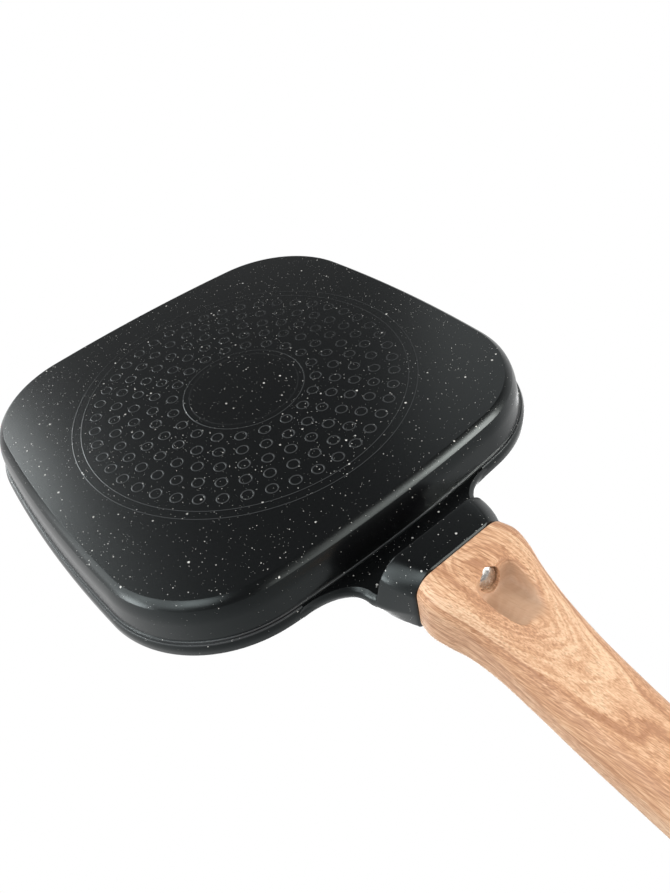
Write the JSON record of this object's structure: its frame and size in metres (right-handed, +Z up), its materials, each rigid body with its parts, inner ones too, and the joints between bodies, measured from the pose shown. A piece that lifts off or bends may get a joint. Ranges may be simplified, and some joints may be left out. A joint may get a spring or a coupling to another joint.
{
  "type": "square grill pan",
  "caption": "Square cast grill pan with a ribbed cooking floor, a perforated steel plate pressed into its underside and a wood-grain grip fixed by a screw.",
  "frame": {"origin": "centre of the underside, on the surface that the pan stands on", "axes": "+Z up into the pan, +X out of the bowl along the handle, +Y to the left of someone who looks along +X"},
  "size_m": [0.4626, 0.2398, 0.065],
  "materials": {
    "coated_aluminium": "black non-stick coat with fine white speckles, satin",
    "magnetic_steel": "perforated steel under the same black speckled coat",
    "wood_grain_grip": "light wood grain, satin",
    "plated_steel": "bright plated"
  },
  "bodies": {
    "root": {"pan_body": "coated_aluminium", "induction_plate": "magnetic_steel", "handle": "wood_grain_grip", "handle_screw": "plated_steel", "lock_washer": "plated_steel", "flat_washer": "plated_steel"}
  },
  "joints": []
}
